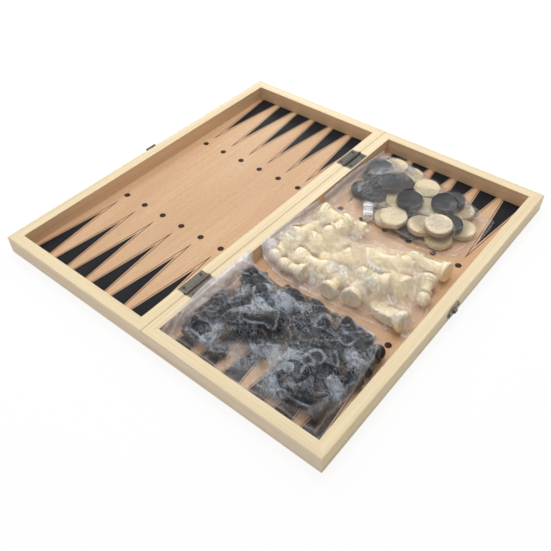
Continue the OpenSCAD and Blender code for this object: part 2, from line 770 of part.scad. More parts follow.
// Solid under the film, drawn in by d on all sides; its corners are pulled in a little
module film_body(men, size, d) {
    n = [ceil(2 * size[0] / film_cell), ceil(2 * size[1] / film_cell)];
    pull = 0.035;
    half = [size[0] - d, size[1] - d];
    top = [for (j = [0:n[1]], i = [0:n[0]])
        let (u = 2 * i / n[0] - 1, v = 2 * j / n[1] - 1,
             x = half[0] * u * (1 - pull * v * v), y = half[1] * v * (1 - pull * u * u))
        [x, y, film_z(men, size, x, y) - d]];
    row = n[0] + 1;
    ring = concat([for (i = [0:n[0] - 1]) i], [for (j = [0:n[1] - 1]) j * row + n[0]],
                  [for (i = [n[0]:-1:1]) n[1] * row + i], [for (j = [n[1]:-1:1]) j * row]);
    low = len(top);
    count = len(ring);
    polyhedron(
        points = concat(top, [for (k = ring) [top[k][0], top[k][1], d]]),
        faces = concat(
            [for (j = [0:n[1] - 1], i = [0:n[0] - 1]) let (a = j * row + i) [a, a + row, a + row + 1]],
            [for (j = [0:n[1] - 1], i = [0:n[0] - 1]) let (a = j * row + i) [a, a + row + 1, a + 1]],
            [for (k = [0:count - 1]) let (m = (k + 1) % count) [ring[k], ring[m], low + m, low + k]],
            [[for (k = [0:count - 1]) low + k]]));
}

// Closed shell of film draped over the pieces, turned about with them
module bag(at, men, size, turn) {
    color([0.85, 0.88, 0.9, 0.35])
    translate([at[0], at[1], floor_z + film_gap]) rotate(turn) difference() {
        film_body(men, size, 0);
        film_body(men, size, film_t);
    }
}

// ---------------------------------------------------------------- nodes

floor_panel();  // right_floor_panel
outer_rail();  // right_outer_rail
seam_rail();  // right_seam_rail
cross_rail();  // right_near_rail
mirror([0, 1, 0]) cross_rail();  // right_far_rail
points();  // right_points
outlines();  // right_outlines
chess_squares(0);  // right_chess_squares
on_left() floor_panel();  // left_floor_panel
on_left() outer_rail();  // left_outer_rail
on_left() seam_rail();  // left_seam_rail
on_left() cross_rail();  // left_near_rail
on_left() mirror([0, 1, 0]) cross_rail();  // left_far_rail
on_left() points();  // left_points
on_left() outlines();  // left_outlines
on_left() chess_squares(1);  // left_chess_squares
translate([0, -hinge_y, 0]) hinge_leaf(0);  // near_hinge_right_leaf
translate([0, -hinge_y, 0]) on_left() hinge_leaf(1);  // near_hinge_left_leaf
translate([0, -hinge_y, fold_z]) hinge_pin();  // near_hinge_pin
translate([0, hinge_y, 0]) hinge_leaf(0);  // far_hinge_right_leaf
translate([0, hinge_y, 0]) on_left() hinge_leaf(1);  // far_hinge_left_leaf
translate([0, hinge_y, fold_z]) hinge_pin();  // far_hinge_pin
hinge_nails();  // right_hinge_nails
on_left() hinge_nails();  // left_hinge_nails
on_left() hasp_plate();
on_left() hasp_tongue();
on_left() hasp_pin();
on_left() face_nails();  // hasp_nails
catch_plate();
face_nails();  // catch_nails
pale_men("king");  // pale_king
pale_men("queen");  // pale_queen
pale_men("bishop");  // pale_bishops
pale_men("knight");  // pale_knights
pale_men("rook");  // pale_rooks
pale_men("pawn");  // pale_pawns
black_men("king");  // black_king
black_men("queen");  // black_queen
black_men("bishop");  // black_bishops
black_men("knight");  // black_knights
black_men("rook");  // black_rooks
black_men("pawn");  // black_pawns
pale_draughts();
black_draughts();
dice();
dice_pips();
bag(draught_bag, false, draught_bag_size, 0);  // draughts_bag
bag(pale_bag, true, chess_bag_size, 0);  // pale_chessmen_bag
bag(black_bag, true, chess_bag_size, 180);  // black_chessmen_bag
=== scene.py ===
from functools import reduce
import math

import bpy
import numpy as np
from mathutils import Matrix, Vector
from mathutils.bvhtree import BVHTree


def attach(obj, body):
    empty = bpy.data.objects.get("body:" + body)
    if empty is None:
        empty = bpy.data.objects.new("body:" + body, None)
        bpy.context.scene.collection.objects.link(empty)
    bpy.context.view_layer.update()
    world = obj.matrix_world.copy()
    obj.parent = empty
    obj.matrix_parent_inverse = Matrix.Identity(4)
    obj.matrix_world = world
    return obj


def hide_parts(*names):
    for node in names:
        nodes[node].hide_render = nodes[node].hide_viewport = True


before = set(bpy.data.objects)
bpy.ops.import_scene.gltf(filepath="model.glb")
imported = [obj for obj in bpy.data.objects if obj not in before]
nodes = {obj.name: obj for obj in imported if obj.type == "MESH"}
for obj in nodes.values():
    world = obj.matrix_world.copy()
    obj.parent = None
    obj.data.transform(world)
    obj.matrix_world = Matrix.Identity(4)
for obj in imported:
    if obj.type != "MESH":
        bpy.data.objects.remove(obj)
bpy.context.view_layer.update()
MM = 0.001

# Places on the case in millimetres: x from the seam, y from the middle of its length, z from the table.
INNER_FACE = 183.0          # inner faces of the outer, near and far rails
NEAR_FACE = 195.0           # outer faces of the near and far rails
RAIL_X = 11.15              # inner faces of the seam rails
RIM_Z = 20.0                # tops of the rails
FLOOR_Z = 3.14              # tray floor with its print
LID_Z = 36.9                # highest that the film may reach under the closed lid
HINGE_Y = 124.0             # middle of each hinge
POINTS_X = 13.075           # where the row of backgammon points starts
POINT_PITCH = 28.0          # from one point to the next
DOT_Y = 64.0                # rows of dots beyond the points' tips


# ------------------------------------------------------------------ node helpers

class Nodes:
    """Short helpers for a node tree. What feeds an input is a number, a tuple or another node's output."""

    def __init__(self, tree):
        self.tree = tree

    def put(self, socket, value):
        if hasattr(value, "is_output"):
            self.tree.links.new(value, socket)
        elif socket.type == "RGBA":
            socket.default_value = (*value, 1)
        else:
            socket.default_value = value

    def add(self, kind, inputs=None, **props):
        """Add a node and feed its inputs, which are given by name or number."""
        n = self.tree.nodes.new(kind)
        for k, v in props.items():
            setattr(n, k, v)
        for k, v in (inputs or {}).items():
            self.put(n.inputs[k], v)
        return n

    def do(self, op, a, b=0.0, clamp=False):
        return self.add("ShaderNodeMath", {0: a, 1: b}, operation=op, use_clamp=clamp).outputs[0]

    def plus(self, *values):
        return reduce(lambda a, b: self.do("ADD", a, b), values)

    def times(self, *values):
        return reduce(lambda a, b: self.do("MULTIPLY", a, b), values)

    def most(self, *values):
        return reduce(lambda a, b: self.do("MAXIMUM", a, b), values)

    def length(self, a, b):
        return self.do("SQRT", self.plus(self.times(a, a), self.times(b, b)))


class Mat(Nodes):
    """A Principled material. Lengths in its textures are in millimetres."""

    def __init__(self, name):
        self.material = bpy.data.materials.new(name)
        self.material.use_nodes = True
        super().__init__(self.material.node_tree)
        self.tree.nodes.clear()
        self.bsdf = self.add("ShaderNodeBsdfPrincipled")
        self.add("ShaderNodeOutputMaterial", {"Surface": self.bsdf.outputs[0]})
        self.place = self.add("ShaderNodeTexCoord").outputs["Object"]

    def set(self, **sockets):
        for k, v in sockets.items():
            self.put(self.bsdf.inputs[k.replace("_", " ")], v)

    def vec(self, scale=1.0, turn=(0, 0, 0), at=(0, 0, 0)):
        """The place in millimetres, times scale: one number, or one each for x, y and z."""
        each = scale if isinstance(scale, tuple) else (scale,) * 3
        inputs = {"Vector": self.place, "Scale": [1000 * s for s in each], "Rotation": turn, "Location": at}
        return self.add("ShaderNodeMapping", inputs, vector_type="POINT").outputs[0]

    def noise(self, scale, detail=3.0, rough=0.55, distort=0.0, **shift):
        inputs = {"Vector": self.vec(scale, **shift), "Scale": 1, "Detail": detail, "Roughness": rough,
                  "Distortion": distort}
        return self.add("ShaderNodeTexNoise", inputs).outputs[0]

    def cells(self, vec, feature="F1"):
        return self.add("ShaderNodeTexVoronoi", {"Vector": vec, "Scale": 1}, feature=feature)

    def ramp(self, fac, *stops):
        n = self.add("ShaderNodeValToRGB", {0: fac})
        elements = n.color_ramp.elements
        while len(elements) < len(stops):
            elements.new(0.5)
        for element, (position, colour) in zip(elements, stops):
            element.position = position
            element.color = (*colour, 1)
        return n.outputs[0]

    def span(self, fac, lo, hi, to_lo=0.0, to_hi=1.0):
        """to_lo up to lo, to_hi from hi on and even in between; lo may be the larger."""
        inputs = {"Value": fac, "From Min": lo, "From Max": hi, "To Min": to_lo, "To Max": to_hi}
        return self.add("ShaderNodeMapRange", inputs).outputs[0]

    def mix(self, fac, a, b, how="MIX"):
        return self.add("ShaderNodeMix", {0: fac, 6: a, 7: b}, data_type="RGBA", blend_type=how).outputs[2]

    def vectors(self, op, *values):
        return self.add("ShaderNodeVectorMath", dict(enumerate(values)), operation=op).outputs[0]

    def xyz(self, vec):
        return self.add("ShaderNodeSeparateXYZ", {0: vec}).outputs

    def attr(self, name):
        return self.add("ShaderNodeAttribute", attribute_name=name).outputs["Fac"]

    def bump(self, height, strength, depth):
        """Bend the normal and return the finished material. depth is one unit of height in mm."""
        n = self.add("ShaderNodeBump", {"Strength": strength, "Distance": depth * MM, "Height": height})
        self.put(self.bsdf.inputs["Normal"], n.outputs[0])
        return self.material


# ------------------------------------------------------------------ materials

def rail_wood(name, along_x, shift):
    """Pale straight-grained wood, its grain along X or Y. The trays' inner faces are painted a darker,
    warmer brown for shade and light thrown back from the floor panel, and the near and far faces a cooler
    tint for their shade."""
    m = Mat(name)

    def grain(across, run):
        return (run, across, across) if along_x else (across, run, across)

    broad = m.noise(grain(0.16, 0.0035), 3, 0.5, 0.4, at=(shift, shift * 2, 0))
    rings = m.noise(grain(0.75, 0.006), 4, 0.6, 0.25, at=(shift * 3, shift, 4))
    fibre = m.noise(grain(5, 0.09), 3, 0.6)
    pores = m.noise(grain(9, 0.5), 2, 0.5)
    tone = m.ramp(broad, (0.30, (0.72, 0.585, 0.375)), (0.50, (0.80, 0.665, 0.43)),
                  (0.72, (0.83, 0.71, 0.49)))
    tone = m.mix(m.span(rings, 0.48, 0.66, 0, 0.55), tone, (0.66, 0.505, 0.30))
    tone = m.mix(m.span(fibre, 0.45, 0.8, 0, 0.25), tone, (0.58, 0.43, 0.26))
    tone = m.mix(m.span(pores, 0.64, 0.74, 0, 0.3), tone, (0.42, 0.29, 0.17))
    x, y, z = m.xyz(m.vec())
    ax, ay = m.do("ABSOLUTE", x), m.do("ABSOLUTE", y)
    # Painted shade: the trays' inner faces are darkened to a warmer brown, for their shade and the light
    # thrown back onto them from the floor panel.
    within = (INNER_FACE + 0.3, INNER_FACE - 0.05)
    inner = m.times(m.span(ax, *within), m.span(ax, RAIL_X - 0.25, RAIL_X - 0.05),
                    m.span(ay, *within), m.span(z, RIM_Z - 0.1, RIM_Z - 0.6))
    tone = m.mix(inner, tone, m.mix(1.0, tone, (0.95, 0.79, 0.75), "MULTIPLY"))
    # Painted shade: the near and far faces get a cooler, bluer tint for the shade they lie in.
    outer = m.span(ay, NEAR_FACE - 0.4, NEAR_FACE - 0.2)
    tone = m.mix(outer, tone, m.mix(1.0, tone, (1.04, 1.03, 1.16), "MULTIPLY"))
    m.set(Base_Color=tone, Roughness=m.span(fibre, 0.3, 0.7, 0.48, 0.62), Specular_IOR_Level=0.35)
    return m.bump(m.plus(fibre, pores), 0.4, 0.07)


def panel_wood():
    """Beech: pinkish tan with short dark flecks, grain along Y."""
    m = Mat("beech_panel")
    broad = m.noise((0.03, 0.004, 1), 3, 0.5, 0.6)
    band = m.noise((0.35, 0.008, 1), 4, 0.6, 0.2)
    fibre = m.noise((3.5, 0.07, 1), 3, 0.6)
    fleck = m.noise((1.5, 0.20, 1), 2, 0.55, 0.15, at=(3, 9, 0))
    ray = m.cells(m.vec((1.1, 0.16, 1))).outputs["Distance"]
    tone = m.ramp(broad, (0.25, (0.57, 0.355, 0.205)), (0.5, (0.62, 0.40, 0.235)),
                  (0.75, (0.665, 0.45, 0.27)))
    tone = m.mix(m.span(band, 0.42, 0.66, 0, 0.55), tone, (0.565, 0.325, 0.17))
    tone = m.mix(m.span(fibre, 0.42, 0.78, 0, 0.35), tone, (0.48, 0.275, 0.145))
    tone = m.mix(m.span(fleck, 0.57, 0.67, 0, 0.6), tone, (0.40, 0.215, 0.105))
    tone = m.mix(m.span(ray, 0.20, 0.05, 0, 0.45), tone, (0.77, 0.545, 0.35))
    m.set(Base_Color=tone, Roughness=m.span(fibre, 0.3, 0.7, 0.45, 0.6), Specular_IOR_Level=0.35)
    return m.bump(m.plus(fibre, m.times(fleck, 0.6)), 0.35, 0.06)


def ink(name, tone, faint, dotted=False):
    """Printing ink over wood: the grain shows through faintly. Dots keep a pale pinprick in the middle."""
    m = Mat(name)
    fibre = m.noise((3.5, 0.07, 1), 3, 0.6)
    grain = m.noise((2.2, 0.30, 1), 3, 0.6, at=(3, 9, 0))
    cloud = m.noise((0.05, 0.02, 1), 2)
    colour = m.mix(m.span(fibre, 0.35, 0.8, 0, 0.5), tone, faint)
    colour = m.mix(m.span(grain, 0.66, 0.76, 0, 0.35), colour, tuple(1.8 * c + 0.01 for c in faint))
    if dotted:
        x, y, _ = m.xyz(m.vec())
        pitches = m.do("DIVIDE", m.do("SUBTRACT", m.do("ABSOLUTE", x), POINTS_X), POINT_PITCH)
        dx = m.times(m.do("SUBTRACT", m.do("FRACT", pitches), 0.5), POINT_PITCH)
        dy = m.do("SUBTRACT", m.do("ABSOLUTE", y), DOT_Y)
        colour = m.mix(m.span(m.length(dx, dy), 1.1, 0.5, 0, 0.8), colour, (0.16, 0.07, 0.045))
    m.set(Base_Color=colour, Roughness=m.span(cloud, 0.3, 0.7, 0.50, 0.65), Specular_IOR_Level=0.15)
    return m.bump(m.plus(fibre, grain), 0.25, 0.05)


def bronze(name, low, high, rubbed, pattern=None):
    """Antiqued pressed sheet: dark in its hollows, rubbed bright on its raised lines."""
    m = Mat(name)
    cloud = m.noise(0.6, 4, 0.6)
    grit = m.noise(5, 3, 0.6)
    wear = m.plus(m.times(cloud, 0.6), m.times(grit, 0.4))
    raised = pattern(m) if pattern else m.span(m.noise((7, 0.4, 7), 2, turn=(0, 0, 0.4)), 0.56, 0.72)
    lit = m.do("MULTIPLY", raised, m.span(wear, 0.3, 0.62, 0.35, 1.0), clamp=True)
    dark = m.mix(m.span(wear, 0.4, 0.65), low, high)
    m.set(Base_Color=m.mix(lit, dark, rubbed), Metallic=m.span(lit, 0, 1, 0.35, 0.9),
          Roughness=m.span(wear, 0.3, 0.7, 0.55, 0.38))
    return m.bump(m.plus(raised, m.times(grit, 0.25)), 0.8, 0.22)


def hinge_pattern(m):
    """Raised lines along the pin and at the leaf's ends, and curls round each nail, alike on all leaves."""
    pin_line, rim_line, end_line = 3.1, 9.3, 15.3           # mm from the pin, and from the hinge's middle
    between_lines = (4.3, 5.3, 7.0, 8.2)
    nail_x, nail_y = 6.2, 11.0
    x, y, _ = m.xyz(m.vec())
    ax = m.do("ABSOLUTE", x)
    ay = m.do("ABSOLUTE", m.do("SUBTRACT", m.do("ABSOLUTE", y), HINGE_Y))

    def line(value, at, half):
        return m.span(m.do("ABSOLUTE", m.do("SUBTRACT", value, at)), half, half * 0.4)

    lines = m.most(line(ax, pin_line, 0.22), line(ax, rim_line, 0.2), line(ay, end_line, 0.25),
                   *(m.times(line(ax, at, 0.2), 0.7) for at in between_lines))
    r = m.length(m.do("SUBTRACT", ax, nail_x), m.do("SUBTRACT", ay, nail_y))
    curls = m.most(line(r, 2.3, 0.26), m.times(line(r, 3.3, 0.18), 0.8))
    return m.most(m.times(lines, m.span(r, 3.0, 3.6)), curls)


def turned_wood(name, light, dark, rough, coat, shiny=0.5):
    """Turned and lacquered wood with faint grain."""
    m = Mat(name)
    grain = m.noise((0.22, 0.5, 0.5), 4, 0.6, 0.8)
    fibre = m.noise((0.6, 4, 4), 3, 0.6)
    fine = m.noise(2.4, 2)
    tone = m.mix(m.span(grain, 0.38, 0.68), light, dark)
    tone = m.mix(m.span(fibre, 0.5, 0.8, 0, 0.3), tone, tuple(0.75 * c for c in dark))
    m.set(Base_Color=tone, Roughness=m.span(fine, 0.3, 0.7, rough - 0.05, rough + 0.08), Coat_Weight=coat,
          Coat_Roughness=0.18, Specular_IOR_Level=shiny)
    return m.bump(m.plus(fibre, fine), 0.2, 0.05)


def dice_plastic():
    m = Mat("dice_plastic")
    cloud = m.noise(0.4, 2)
    fine = m.noise(6, 2)
    m.set(Base_Color=m.mix(cloud, (0.86, 0.86, 0.83), (0.78, 0.79, 0.77)),
          Roughness=m.span(fine, 0.3, 0.7, 0.2, 0.3),
          Subsurface_Weight=0.15, Subsurface_Scale=0.002, Coat_Weight=0.3)
    return m.bump(fine, 0.1, 0.03)


def pip_paint():
    m = Mat("pip_paint")
    fine = m.noise(4, 2)
    m.set(Base_Color=m.mix(fine, (0.015, 0.015, 0.018), (0.04, 0.04, 0.045)),
          Roughness=m.span(fine, 0.3, 0.7, 0.3, 0.5))
    return m.bump(fine, 0.2, 0.05)


def clear_film(name, veil, mirror, between, deep, lit, crease_reflection_tint, combed, turn):
    """Crinkled clear film. veil is its share of what shows where it is plain, and mirror how much of that
    is mirrored. between and deep are its share and tone where it hangs between the pieces: painted shade
    and a painted reflection of the pieces. lit is the tone of its painted highlight patches, and the crease
    tint that of its creases, painted for their glints and reflections. combed is the strength of fine
    creases side by side, and turn the angle of the whole pattern. The mesh says where, by its attributes
    for painted glints on folds, seals, painted shade and reflection between pieces, dull haze, crushed film
    and painted highlights."""
    m = Mat(name)
    wave = m.add("ShaderNodeTexNoise", {"Vector": m.vec(0.22)}).outputs["Color"]
    bent = m.vectors("ADD", m.vec(turn=(0, 0, turn)), m.vectors("MULTIPLY", wave, (2.2, 2.2, 2.2)))

    def stretched(sx, sy, seed):
        return m.vectors("MULTIPLY_ADD", bent, (sx, sy, 0.1), (seed, seed, 0))

    def facets(sx, sy, slope, seed):
        """Height in mm of flat facets about 1 / sx by 1 / sy mm, each leaning its own way, and each
        facet's own number."""
        place = stretched(sx, sy, seed)
        cell = m.cells(place).outputs
        ax, ay, _ = m.xyz(m.vectors("SUBTRACT", place, cell["Position"]))
        lean_x, lean_y, own = m.xyz(cell["Color"])

        def rise(away, lean, scale):
            return m.times(away, m.do("SUBTRACT", lean, 0.5), 2 * slope / scale)

        return m.plus(rise(ax, lean_x, sx), rise(ay, lean_y, sy)), own

    def creases(sx, sy, seed, width):
        edge = m.cells(stretched(sx, sy, seed), "DISTANCE_TO_EDGE").outputs["Distance"]
        return m.span(edge, width, 0.0)

    haze = m.noise(0.045, 3, 0.55, 0.6)
    shine, gap_shade_and_reflection, dull, crush, fold, seal = map(m.attr, ("shine", "gap_shade_and_reflection", "dull", "crush", "fold", "seal"))
    large, own_large = facets(0.055, 0.09, 0.28, 0)
    mid, own_mid = facets(0.19, 0.30, 0.26, 5)
    fine, own_fine = facets(0.55, 0.8, 0.5, 9)

    # painted highlights: bright patches of facets and painted glints along the folds; and pale crushed film
    # and seams
    salt = m.span(m.noise(1.1, 3, 0.7), 0.44, 0.60, 0.3, 1.0)
    grain = m.times(m.span(own_fine, 0.2, 0.8, 0.45, 1.0), salt)
    half = m.span(grain, 0, 1, 0.35, 1.0)
    patches = m.times(m.span(own_large, 0.36, 0.40), m.span(own_mid, 0.30, 0.50, 0.35, 1.0))
    # painted highlight patches at the shine spots
    bright = m.times(patches, grain, m.plus(shine, 0.05))
    # painted glints along the folds
    bright = m.do("ADD", bright, m.times(half, fold, 0.3), clamp=True)
    pale = m.do("ADD", m.times(half, crush), m.times(seal, 0.3), clamp=True)
    white = m.do("ADD", bright, pale, clamp=True)

    # creases, painted in a tint for their glints and reflections, and fine ones side by side where
    # highlights are painted
    comb = m.times(creases(0.05, 0.55, 11, 0.16), shine, combed)
    line = m.times(m.most(creases(0.20, 0.32, 3, 0.05), creases(0.07, 0.15, 0, 0.025)),
                   m.most(m.span(haze, 0.44, 0.64, 0.05, 1.0), shine))
    line = m.most(line, comb)

    facing = m.add("ShaderNodeLayerWeight", {"Blend": 0.3}).outputs["Facing"]
    see = m.plus(veil, m.times(white, 0.8), m.times(gap_shade_and_reflection, between), m.times(line, 0.22), m.times(comb, 0.4),
                 m.times(dull, 0.40), m.times(facing, 0.05))
    tone = m.mix(haze, (0.86, 0.86, 0.92), (0.98, 0.98, 1.0))
    # painted shade and a painted reflection of the pieces where the film hangs between them
    tone = m.mix(m.do("MULTIPLY", gap_shade_and_reflection, 1.5, clamp=True), tone, deep)
    tone = m.mix(m.do("MULTIPLY", dull, 1.5, clamp=True), tone, (0.78, 0.70, 0.65))
    # creases painted in a tint for their glints and reflections
    tone = m.mix(line, tone, crease_reflection_tint)
    tone = m.mix(m.do("MULTIPLY", bright, 3.0, clamp=True), tone, lit)
    tone = m.mix(m.do("MULTIPLY", pale, 3.0, clamp=True), tone, (0.86, 0.83, 0.84))
    matt = m.plus(m.times(white, 3.0), line, m.times(m.plus(gap_shade_and_reflection, dull), 1.4))
    m.set(Base_Color=tone, Metallic=m.span(matt, 0, 1, mirror, 0.0),
          Roughness=m.span(haze, 0.3, 0.7, 0.15, 0.24), Alpha=m.do("MINIMUM", see, 0.85))
    return m.bump(m.plus(large, mid, m.times(fine, m.span(shine, 0.1, 0.6, 0.15, 1.0))), 1.0, 1.0)


# ------------------------------------------------------------------ paint on the CAD nodes

MEN = ("king", "queen", "bishops", "knights", "rooks", "pawns")
GREY_BRONZE = ((0.095, 0.083, 0.066), (0.22, 0.195, 0.155), (0.46, 0.41, 0.33))
DARK_BRONZE = ((0.052, 0.048, 0.042), (0.13, 0.118, 0.098), (0.58, 0.53, 0.44))
# The catch is the same bronze as the hinges, painted lighter with a near-white rub: a painted glint.
CATCH_BRONZE_PAINTED_GLINT = ((0.23, 0.20, 0.165), (0.42, 0.375, 0.31), (0.95, 0.91, 0.83))
# Nail heads painted nearly black: painted shade for the sunk holes they sit in.
NAIL_BRONZE_PAINTED_SHADE = ((0.02, 0.018, 0.015), (0.06, 0.052, 0.04), (0.25, 0.22, 0.17))


def men(tone):
    return [tone + "_" + kind for kind in MEN]


def paint(material, *names):
    for name in names:
        for slot in nodes[name].material_slots:
            slot.material = material


def both(name):
    return "right_" + name, "left_" + name


RAILS = (("outer", False, 0), ("seam", False, 9), ("near", True, 4), ("far", True, 13))
for side, seed in (("right", 1.7), ("left", 5.3)):
    for rail, along_x, more in RAILS:
        paint(rail_wood(side + "_" + rail + "_wood", along_x, seed + more), side + "_" + rail + "_rail")
paint(panel_wood(), *both("floor_panel"))
paint(ink("point_ink", (0.008, 0.008, 0.011), (0.024, 0.022, 0.026)), *both("points"))
paint(ink("outline_ink", (0.030, 0.014, 0.009), (0.085, 0.045, 0.028), dotted=True), *both("outlines"))
paint(ink("square_ink", (0.014, 0.013, 0.016), (0.04, 0.035, 0.035)), *both("chess_squares"))
for hinge, tones in (("near_hinge", GREY_BRONZE), ("far_hinge", DARK_BRONZE)):
    paint(bronze(hinge + "_bronze", *tones, hinge_pattern), hinge + "_right_leaf", hinge + "_left_leaf")
paint(bronze("fitting_bronze", *DARK_BRONZE),
      "near_hinge_pin", "far_hinge_pin", "hasp_plate", "hasp_tongue", "hasp_pin")
# Painted highlight: the catch plate gets a lighter copy of the bronze for its glint.
paint(bronze("catch_bronze_painted_glint", *CATCH_BRONZE_PAINTED_GLINT), "catch_plate")
# Painted shade: the nail heads are darkened to nearly black.
paint(bronze("nail_bronze", *NAIL_BRONZE_PAINTED_SHADE), "hasp_nails", "catch_nails", *both("hinge_nails"))
paint(turned_wood("pale_turned_wood", (0.97, 0.86, 0.60), (0.90, 0.765, 0.49), 0.42, 0.15), *men("pale"))
paint(turned_wood("pale_draught_wood", (0.75, 0.63, 0.41), (0.67, 0.54, 0.32), 0.42, 0.15), "pale_draughts")
paint(turned_wood("black_turned_wood", (0.009, 0.010, 0.012), (0.022, 0.023, 0.027), 0.34, 0.12, shiny=0.3),
      "black_draughts", *men("black"))
paint(dice_plastic(), "dice")
paint(pip_paint(), "dice_pips")


# ------------------------------------------------------------------ film bags

STEP = 1.0                  # mesh step of the film, in mm
CLEAR = 0.47                # between the film and what it lies on
SAG = 0.006                 # drop of each cell in a turn of relaxing
ABOVE = 90.0                # height from which rays are cast down


def solid_tree(names):
    """One ray-cast tree of several CAD nodes, in mm."""
    vs, fs, n = [], [], 0
    for name in names:
        me = nodes[name].data
        vs += [tuple(1000 * c for c in v.co) for v in me.vertices]
        fs += [tuple(n + i for i in p.vertices) for p in me.polygons]
        n = len(vs)
    return BVHTree.FromPolygons(vs, fs)


def heights(tree, x, y, low):
    down = Vector((0, 0, -1))
    out = np.full(x.shape, float(low))
    for i in np.ndindex(x.shape):
        hit = tree.ray_cast(Vector((x[i], y[i], ABOVE)), down)[0]
        if hit is not None:
            out[i] = max(low, hit.z)
    return out


def crumple(rng, x, y, facet, amp, turn):
    """Heights of random flat facets with straight creases between them, drawn out along turn."""
    c, s = math.cos(turn), math.sin(turn)
    u, v = c * x + s * y, c * y - s * x
    nu, nv = int((u.max() - u.min()) / facet[0]) + 4, int((v.max() - v.min()) / facet[1]) + 4
    vs, fs = [], []
    for j in range(nv):
        for i in range(nu):
            vs.append((u.min() + (i - 1 + rng.uniform(-0.4, 0.4)) * facet[0],
                       v.min() + (j - 1 + rng.uniform(-0.4, 0.4)) * facet[1], rng.uniform(0, amp)))
    for j in range(nv - 1):
        for i in range(nu - 1):
            a, d = j * nu + i, (j + 1) * nu + i
            b, c = a + 1, d + 1
            fs += [(a, b, c), (a, c, d)] if rng.random() < 0.5 else [(a, b, d), (b, c, d)]
    return heights(BVHTree.FromPolygons(vs, fs), u, v, -1)


def along(points, n):
    """n points at even steps along a polyline with eased corners."""
    p = np.array(points, float)
    for _ in range(2):
        q = np.empty((2 * len(p) - 2, 2))
        q[0::2], q[1::2] = 0.75 * p[:-1] + 0.25 * p[1:], 0.25 * p[:-1] + 0.75 * p[1:]
        p = np.vstack([p[:1], q, p[-1:]])
    s = np.concatenate([[0], np.cumsum(np.linalg.norm(np.diff(p, axis=0), axis=1))])
    t = np.linspace(0, s[-1], n)
    return np.column_stack([np.interp(t, s, p[:, k]) for k in (0, 1)])


def polyline_length(points):
    return np.linalg.norm(np.diff(np.array(points, float), axis=0), axis=1).sum()


def patch(near, right, far, left):
    """Coons patch between four edges, as x and y grids."""
    nu = int(max(polyline_length(near), polyline_length(far)) / STEP) + 1
    nv = int(max(polyline_length(left), polyline_length(right)) / STEP) + 1
    c0, c1, d0, d1 = along(near, nu), along(far, nu), along(left, nv), along(right, nv)
    u, v = np.linspace(0, 1, nu)[:, None, None], np.linspace(0, 1, nv)[None, :, None]
    g = (1 - v) * c0[:, None] + v * c1[:, None] + (1 - u) * d0[None] + u * d1[None]
    g -= (1 - u) * (1 - v) * c0[0] + u * (1 - v) * c0[-1] + (1 - u) * v * c1[0] + u * v * c1[-1]
    return g[..., 0], g[..., 1]


def neighbours(a):
    """Sum of each cell's four neighbours, the edge cells repeated outwards."""
    p = np.pad(a, 1, mode="edge")
    return p[:-2, 1:-1] + p[2:, 1:-1] + p[1:-1, :-2] + p[1:-1, 2:]


def relax(h, ground, turns=1200, band=3):
    """Film hung over what lies under it: it spans the gaps and sags a little. The outer band keeps its
    height."""
    inside = slice(band, -band)
    core = slice(band - 1, 1 - band)
    for _ in range(turns):
        mean = (h[:-2, 1:-1] + h[2:, 1:-1] + h[1:-1, :-2] + h[1:-1, 2:]) / 4 - SAG
        h[inside, inside] = np.maximum(mean, ground[1:-1, 1:-1])[core, core]
    return h


def blur(a, turns):
    for _ in range(turns):
        a = (4 * a + neighbours(a)) / 8
    return a


def soften(a, r):
    """Gaussian blur with a spread of r cells."""
    k = np.exp(-0.5 * (np.arange(-3 * r, 3 * r + 1) / r) ** 2)
    k /= k.sum()
    for axis in (0, 1):
        a = np.apply_along_axis(lambda v: np.convolve(np.pad(v, 3 * r, mode="edge"), k, "valid"), axis, a)
    return a


def spots(x, y, places):
    """Soft spots, each (x, y, half length, half width, heading in degrees, strength)."""
    out = np.zeros(x.shape)
    for px, py, rx, ry, turn, strength in places:
        c, s = math.cos(math.radians(turn)), math.sin(math.radians(turn))
        u, v = (c * (x - px) + s * (y - py)) / rx, (c * (y - py) - s * (x - px)) / ry
        out = np.maximum(out, strength * np.clip(1.6 * (1 - np.hypot(u, v) / 1.35), 0, 1))
    return out


def film_mesh(name, x, y, top, low, marks):
    """Object with a top and a bottom sheet joined round their edges; the marks are the top's attributes."""
    nu, nv = x.shape
    co = np.concatenate([np.stack((x, y, z), -1).reshape(-1, 3) for z in (top, low)]) * MM
    i, j = np.meshgrid(np.arange(nu - 1), np.arange(nv - 1), indexing="ij")
    a = (i * nv + j).ravel()
    quad = np.column_stack([a, a + nv, a + nv + 1, a + 1])
    ring = np.array([k * nv for k in range(nu)] + [(nu - 1) * nv + k for k in range(1, nv)]
                    + [k * nv + nv - 1 for k in range(nu - 2, -1, -1)] + [k for k in range(nv - 2, 0, -1)])
    after = np.roll(ring, -1)
    side = np.column_stack([after, ring, ring + nu * nv, after + nu * nv])
    me = bpy.data.meshes.new(name)
    me.from_pydata(co.tolist(), [], np.concatenate([quad, quad[:, ::-1] + nu * nv, side]).tolist())
    for key, values in marks.items():
        at = me.attributes.new(key, "FLOAT", "POINT")
        at.data.foreach_set("value", np.concatenate([values.ravel(), np.zeros(nu * nv)]).astype(np.float32))
    me.polygons.foreach_set("use_smooth", [True] * len(me.polygons))
    me.update()
    ob = bpy.data.objects.new(name, me)
    bpy.context.scene.collection.objects.link(ob)
    return ob


def film_ground(x):
    """Height of what a slack film lies on: the tray's floor, rising to the seam rail's top at its face."""
    ramp = np.clip((RAIL_X + 2.2 - x) / 1.9, 0, 1)
    return FLOOR_Z + (RIM_Z - FLOOR_Z) * ramp ** 2 * (3 - 2 * ramp)


